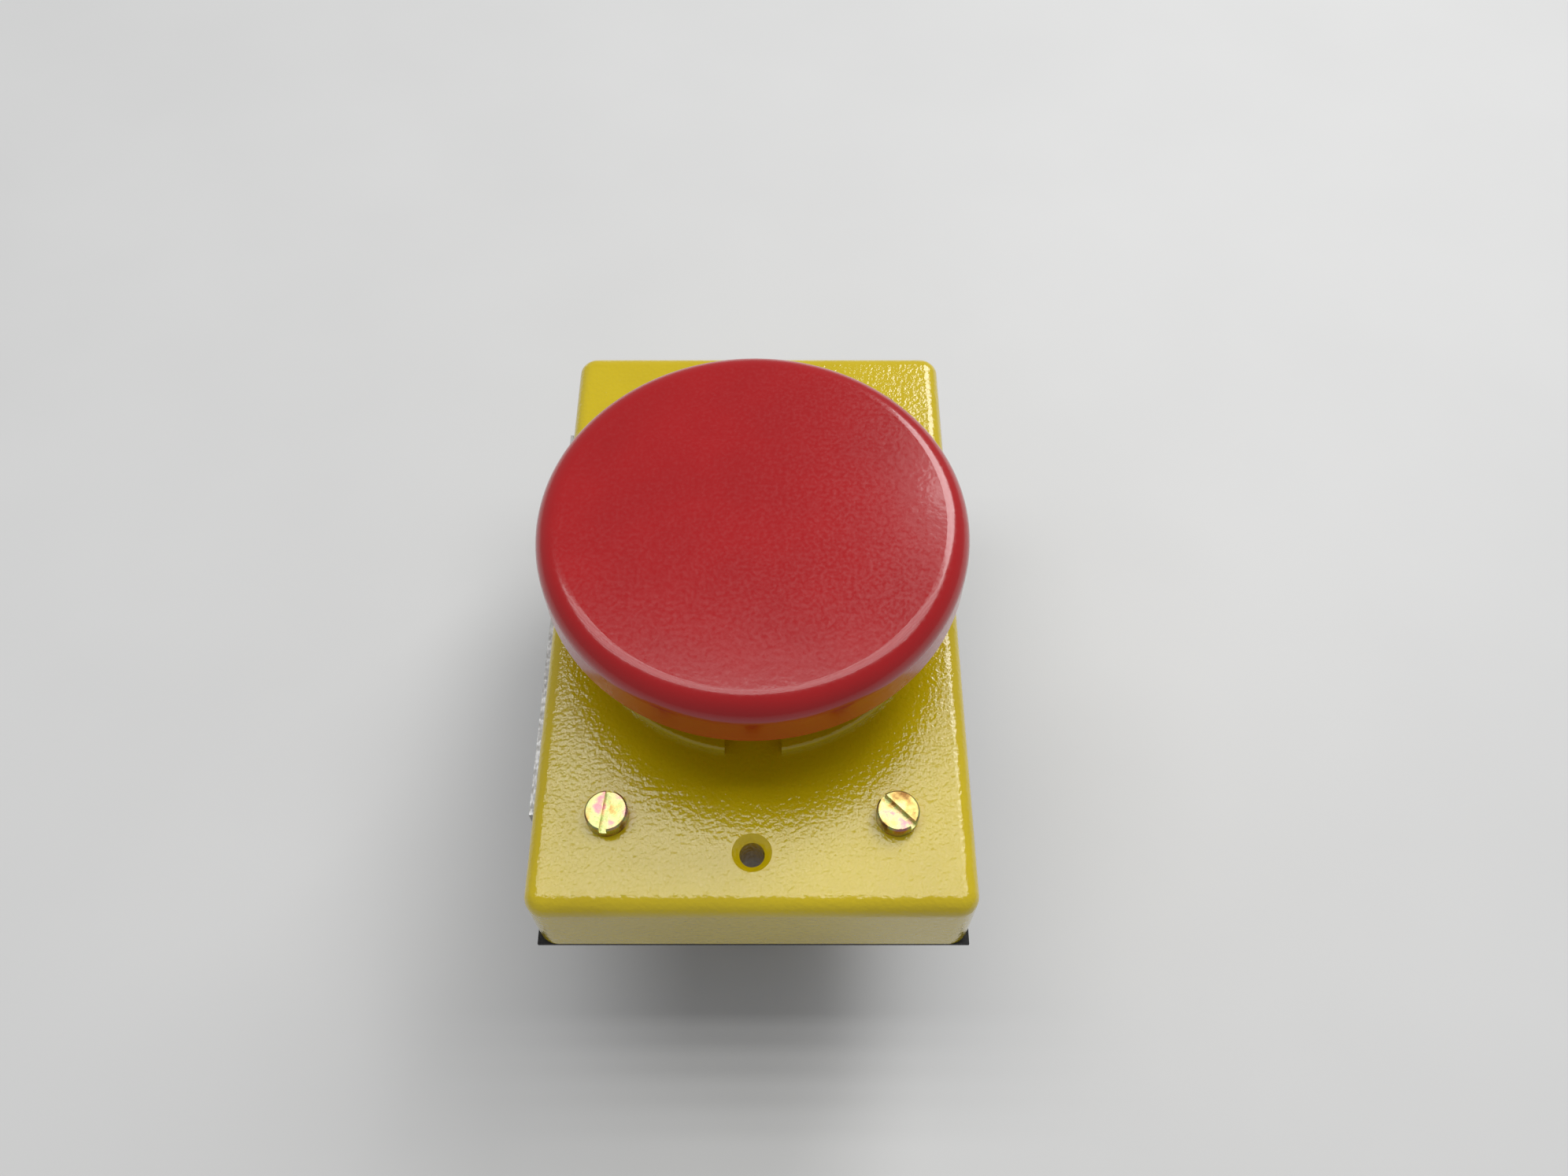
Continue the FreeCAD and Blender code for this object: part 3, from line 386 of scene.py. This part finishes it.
@dataclass
class CoilSpring:
    """A wound compression spring with closed ends, in place of a construction node."""

    node: str
    wire: float
    turns: float
    material: bpy.types.Material
    body: str
    joint: str = ""
    travel: float = 0.005
    dead_turns: float = 0.8

    def build(self) -> bpy.types.Object:
        """Make the spring between the node's two ends.

        Returns:
            The spring's object.
        """
        low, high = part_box(self.node)
        middle = Vector(((low[0] + high[0]) / 2, (low[1] + high[1]) / 2, 0))
        radius = (high[0] - low[0]) / 2 - self.wire / 2
        mesh = bmesh.new()
        sweep_tube(mesh, self.path(low[2], high[2], radius, middle), self.wire / 2)
        spring = make_piece(f"{self.node}_wire", mesh, self.material, self.body)
        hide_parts(self.node)
        if self.joint:
            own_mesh(spring)
        return spring

    def path(self, low: float, high: float, radius: float, middle: Vector) -> List[Vector]:
        """The wire's centre line, flat at both ends.

        Args:
            low: the lower end's level.
            high: the upper end's level.
            radius: the coil's mean radius.
            middle: the coil's axis.

        Returns:
            The points of the line.
        """
        total = self.turns + 2 * self.dead_turns
        steps = int(total * STEPS_PER_TURN)
        points = []
        for step in range(steps + 1):
            turn = total * step / steps
            share = min(1.0, max(0.0, (turn - self.dead_turns) / self.turns))
            level = low + self.wire / 2 + share * (high - low - self.wire)
            angle = 2 * math.pi * turn
            across, along = radius * math.cos(angle), radius * math.sin(angle)
            points.append(middle + Vector((across, along, level)))
        return points


@dataclass
class Finisher:
    """Dresses the construction's nodes in their finishes."""

    nodes: Dict[str, bpy.types.Object]
    done: List[str] = field(default_factory=list)

    def dress(self, material: bpy.types.Material, *names: str) -> None:
        """Give the named nodes one material.

        Args:
            material: the finish.
            names: the nodes.
        """
        for name in names:
            data = self.nodes[name].data
            data.materials.clear()
            data.materials.append(material)
            self.done.append(name)
            log.info("dressed %s in %s", name, material.name)


@dataclass
class Cover:
    """The painted cover with what is fixed to it."""

    finisher: Finisher
    yellow: Enamel = Enamel(
        "cover_enamel",
        colour=(0.66, 0.50, 0.003),
        deep=(0.59, 0.44, 0.002),
        peel_size=0.0008,
        peel_depth=0.00011,
        gloss=0.11,
        coat=0.6,
    )

    def build(self) -> None:
        """Dress the cover, its gasket, plate and screws."""
        self.finisher.dress(self.yellow.build(), "cover")
        rubber = Moulding("gasket_rubber", (0.012, 0.012, 0.013), 0.7)
        self.finisher.dress(rubber.build(), "cover_gasket", "stem_wiper")
        plate = Metal("plate_aluminium", (0.56, 0.56, 0.55), 0.5, 0.0006, (1, 0.6, 1), 0.00004)
        self.finisher.dress(plate.build(), "rating_plate")
        self.finisher.dress(Chromate("yellow_chromate").build(), "cover_screws")


@dataclass
class Plunger:
    """The red head and the parts that move with it."""

    finisher: Finisher
    red: Enamel = Enamel(
        "head_enamel",
        colour=(0.42, 0.003, 0.005),
        deep=(0.37, 0.002, 0.004),
        peel_size=0.0012,
        peel_depth=0.000014,
        wave_depth=0.00001,
        gloss=0.18,
        coat=0.3,
    )

    def build(self) -> None:
        """Dress the head, the stem and its rings."""
        self.finisher.dress(self.red.build(), "palm_head")
        stem = Metal("ground_stem", (0.66, 0.67, 0.69), 0.22, 0.0003, (1, 1, 6))
        self.finisher.dress(stem.build(), "plunger_stem")
        black = Metal("blackened_steel", (0.07, 0.07, 0.075), 0.4)
        self.finisher.dress(black.build(), "head_grub_screw", "retaining_ring")
        zinc = Metal("washer_zinc", (0.64, 0.66, 0.68), 0.3)
        self.finisher.dress(zinc.build(), "stop_washer", "upper_spring_seat")
        rubber = Moulding("buffer_rubber", (0.02, 0.02, 0.021), 0.75)
        self.finisher.dress(rubber.build(), "buffer_washer")
        bronze = Metal("bearing_bronze", (0.58, 0.34, 0.15), 0.34, 0.0003, (1, 1, 6))
        self.finisher.dress(bronze.build(), "guide_bushing")


@dataclass
class SwitchWorks:
    """The frame behind the cover and the contact block that it carries."""

    finisher: Finisher

    def build(self) -> None:
        """Dress the frame, the fasteners and the block."""
        frame = Metal("frame_zinc", (0.60, 0.62, 0.63), 0.38, 0.0006, (1, 0.2, 1))
        self.finisher.dress(frame.build(), "switch_frame")
        fasteners = (
            "frame_lock_washers",
            "frame_nuts",
            "ground_washer",
            "block_screws",
            "block_nuts",
            "terminal_clamps",
        )
        zinc = Metal("bright_zinc", (0.66, 0.68, 0.70), 0.28)
        self.finisher.dress(zinc.build(), *fasteners)
        nickel = Metal("nickel_steel", (0.62, 0.60, 0.56), 0.25)
        self.finisher.dress(nickel.build(), "terminal_screws")
        green = Enamel("ground_green", (0.02, 0.24, 0.06), (0.012, 0.16, 0.04))
        self.finisher.dress(green.build(), "ground_screw")
        phenolic = Moulding("dark_phenolic", (0.022, 0.019, 0.018), 0.36, 0.0008, 0.00002)
        self.finisher.dress(phenolic.build(), "contact_block_base", "contact_block_lid")
        ivory = Moulding("ivory_moulding", (0.72, 0.68, 0.58), 0.45)
        self.finisher.dress(ivory.build(), "contact_carrier")
        brass = Metal("contact_brass", (0.72, 0.50, 0.20), 0.3, 0.0004, (1, 0.2, 1))
        contacts = ("fixed_contacts_nc", "fixed_contacts_no", "bridge_nc", "bridge_no")
        self.finisher.dress(brass.build(), *contacts)
        tips = Metal("tip_silver", (0.86, 0.86, 0.83), 0.25)
        self.finisher.dress(tips.build(), "fixed_contact_tips", "moving_contact_tips")
        steel = Metal("spring_wire", (0.52, 0.53, 0.55), 0.26, 0.0002).build()
        self.finisher.dress(steel, "bridge_springs", "return_spring", "carrier_spring")
        for spring in (
            CoilSpring("return_spring", 0.0013, 3.4, steel, "housing", "palm_press"),
            CoilSpring("carrier_spring", 0.0005, 5.5, steel, "housing", "carrier_slide"),
        ):
            log.info("wound %s", spring.build().name)


@dataclass
class Studio:
    """The pale floor, the soft lights and the camera."""

    floor_level: float
    camera_spot: Point = (0.00514, -0.1174, 0.2128)
    pitch_down: float = 58.6
    lens: float = 29.11
    sensor_width: float = 36.0
    nearest: float = 0.01
    strip_places: Tuple[float, ...] = (0.02, 0.11, 0.20, 0.29, 0.37)
    strip_height: float = 0.90
    strip_power: float = 0.95
    strip_size: Tuple[float, float] = (1.3, 0.05)
    back_spot: Point = (0.55, 0.85, 1.0)
    back_size: Tuple[float, float] = (0.6, 0.6)
    back_power: float = 7.5
    sky_colour: Colour = (0.96, 0.97, 1.0)
    sky_strength: float = 0.33
    floor_size: float = 6.0
    floor_colour: Colour = (0.70, 0.70, 0.69)

    def build(self) -> None:
        """Set up the whole studio."""
        self.add_floor()
        self.add_world()
        for index, behind in enumerate(self.strip_places):
            spot = (0.0, behind, self.strip_height)
            below = (0.0, behind, 0.0)
            self.add_panel(f"strip_{index}", spot, self.strip_size, self.strip_power, below)
        self.add_panel("back_right", self.back_spot, self.back_size, self.back_power, (0.0, 0.0, 0.0))
        self.add_camera()

    def add_floor(self) -> None:
        """Lay the floor under the object, and colour it for the camera."""
        half = self.floor_size / 2
        mesh = bpy.data.meshes.new("floor")
        corners = [(-half, -half), (half, -half), (half, half), (-half, half)]
        mesh.from_pydata([(x, y, self.floor_level) for x, y in corners], [], [(0, 1, 2, 3)])
        sheet = NodeSheet("pale_table")
        clouds = sheet.noise(0.06, 3.0)
        pale = self.floor_colour
        sheet.join(sheet.ramp(clouds, [(0.3, shade(pale, 0.97)), (0.7, pale)]), Socket.COLOUR)
        sheet.set(Socket.ROUGH, 0.55)
        mesh.materials.append(sheet.material)
        floor = bpy.data.objects.new("floor", mesh)
        bpy.context.scene.collection.objects.link(floor)
        floor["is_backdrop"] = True

    def add_world(self) -> None:
        """Light the room softly from all round."""
        world = bpy.data.worlds.new("studio")
        world.use_nodes = True
        background = world.node_tree.nodes["Background"]
        background.inputs["Color"].default_value = (*self.sky_colour, 1.0)
        background.inputs["Strength"].default_value = self.sky_strength
        bpy.context.scene.world = world

    def add_panel(
        self, name: str, spot: Point, size: Tuple[float, float], power: float, target: Point
    ) -> None:
        """Hang one rectangular light that faces a target.

        Args:
            name: the light's name.
            spot: where it hangs.
            size: its two sides.
            power: its power in watts.
            target: what it faces.
        """
        lamp = bpy.data.lights.new(name, "AREA")
        lamp.shape = "RECTANGLE"
        lamp.size, lamp.size_y = size
        lamp.energy = power
        panel = bpy.data.objects.new(name, lamp)
        panel.location = spot
        facing = Vector(target) - Vector(spot)
        panel.rotation_euler = facing.to_track_quat("-Z", "Y").to_euler()
        bpy.context.scene.collection.objects.link(panel)

    def add_camera(self) -> None:
        """Place the camera in front of and above the cover."""
        data = bpy.data.cameras.new("camera")
        data.lens = self.lens
        data.sensor_width = self.sensor_width
        data.clip_start = self.nearest
        camera = bpy.data.objects.new("camera", data)
        camera.location = self.camera_spot
        camera.rotation_euler = (math.radians(90.0 - self.pitch_down), 0.0, 0.0)
        bpy.context.scene.collection.objects.link(camera)
        bpy.context.scene.camera = camera


def plain_box(bounds: Sequence[Sequence[float]]) -> List[List[float]]:
    """A box as plain lists of numbers."""
    return [[float(part) for part in corner] for corner in bounds]


def main() -> None:
    """Load the frame, dress every node and build the studio."""
    logging.basicConfig(level=logging.INFO)
    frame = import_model()
    cad_box = plain_box(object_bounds())
    bpy.context.scene.view_settings.view_transform = "Standard"
    finisher = Finisher(frame["nodes"])
    Cover(finisher).build()
    Plunger(finisher).build()
    SwitchWorks(finisher).build()
    Studio(floor_level=cad_box[0][2]).build()
    left_plain = sorted(set(frame["nodes"]) - set(finisher.done))
    if left_plain:
        raise ValueError(f"no finish for {left_plain}")


if __name__ == "__main__":
    main()
